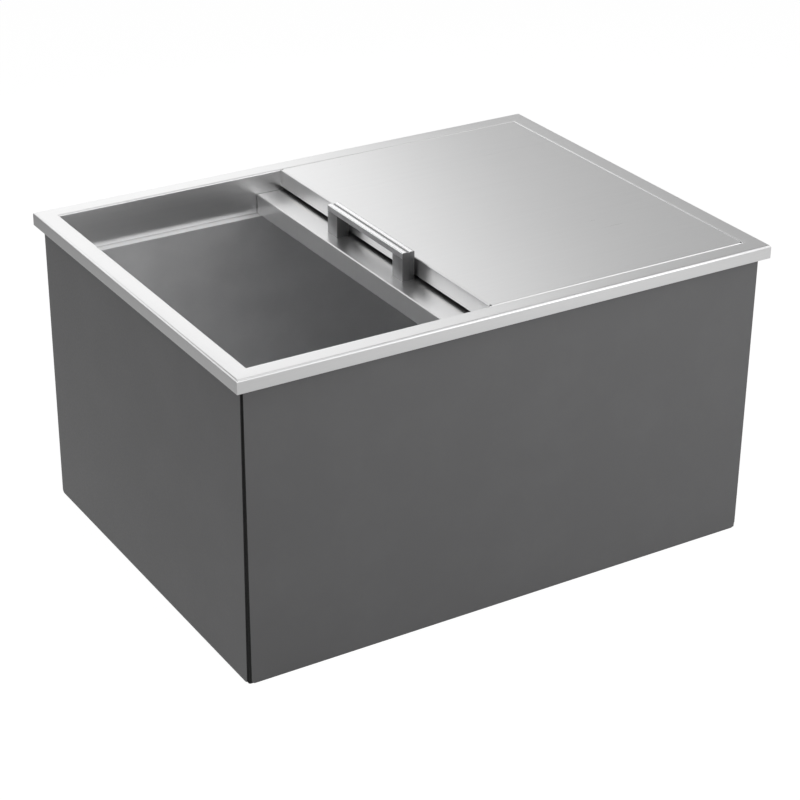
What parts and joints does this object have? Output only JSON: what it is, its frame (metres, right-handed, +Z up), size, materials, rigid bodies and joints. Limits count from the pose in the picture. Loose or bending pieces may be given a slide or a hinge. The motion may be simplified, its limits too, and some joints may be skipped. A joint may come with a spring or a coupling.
{
  "type": "drop-in ice bin",
  "caption": "Insulated drop-in ice bin with a folded steel rim, a half-width fixed cover, a sliding lid that parks under it, and a floor drain with a lift-out plug.",
  "frame": {"origin": "on the floor, under the middle of the rim", "axes": "+X along the long side towards the end with the fixed cover, +Y to the back, +Z up"},
  "size_m": [0.6096, 0.4572, 0.3387],
  "materials": {
    "brushed_steel": "fine straight brushed stainless sheet",
    "tank_steel": "dull rolled stainless sheet",
    "dark_paint": "dark grey textured powder coat",
    "corner_paint": "dark grey textured powder coat, in shadow",
    "insulation_board": "rigid foam board",
    "handle_metal": "brushed bar with bright ridges",
    "fastener_steel": "plated",
    "drain_steel": "polished, with fine wear",
    "seal_rubber": "soft black rubber",
    "slip_plastic": "white nylon",
    "plug_rubber": "moulded black rubber"
  },
  "bodies": {
    "bin": {"top_rim": "brushed_steel", "tank": "tank_steel", "fixed_cover": "brushed_steel", "front_lid_rail": "tank_steel", "back_lid_rail": "tank_steel", "base_tray": "dark_paint", "base_insulation": "insulation_board", "front_panel": "dark_paint", "back_panel": "dark_paint", "left_panel": "dark_paint", "right_panel": "dark_paint", "front_insulation": "insulation_board", "back_insulation": "insulation_board", "left_insulation": "insulation_board", "right_insulation": "insulation_board", "front_left_corner_angle": "corner_paint", "front_right_corner_angle": "corner_paint", "back_left_corner_angle": "corner_paint", "back_right_corner_angle": "corner_paint", "drain_fitting": "drain_steel", "drain_tail": "drain_steel", "drain_gasket": "seal_rubber", "drain_slip_washer": "slip_plastic", "drain_nut": "fastener_steel", "drain_strainer": "drain_steel"},
    "sliding_lid": {"lid_top_skin": "brushed_steel", "lid_underside_pan": "tank_steel", "lid_insulation": "insulation_board", "handle_bar": "handle_metal", "front_handle_post": "handle_metal", "back_handle_post": "handle_metal", "handle_screws": "fastener_steel", "handle_washers": "fastener_steel"},
    "plug": {"drain_plug": "plug_rubber"}
  },
  "joints": [
    {"name": "lid_slide", "type": "slide", "parent": "bin", "child": "sliding_lid", "axis": [1, 0, 0], "range_m": [-0.231, 0.002]},
    {"name": "plug_lift", "type": "slide", "parent": "bin", "child": "plug", "axis": [0, 0, 1], "range_m": [0, 0.32]}
  ]
}
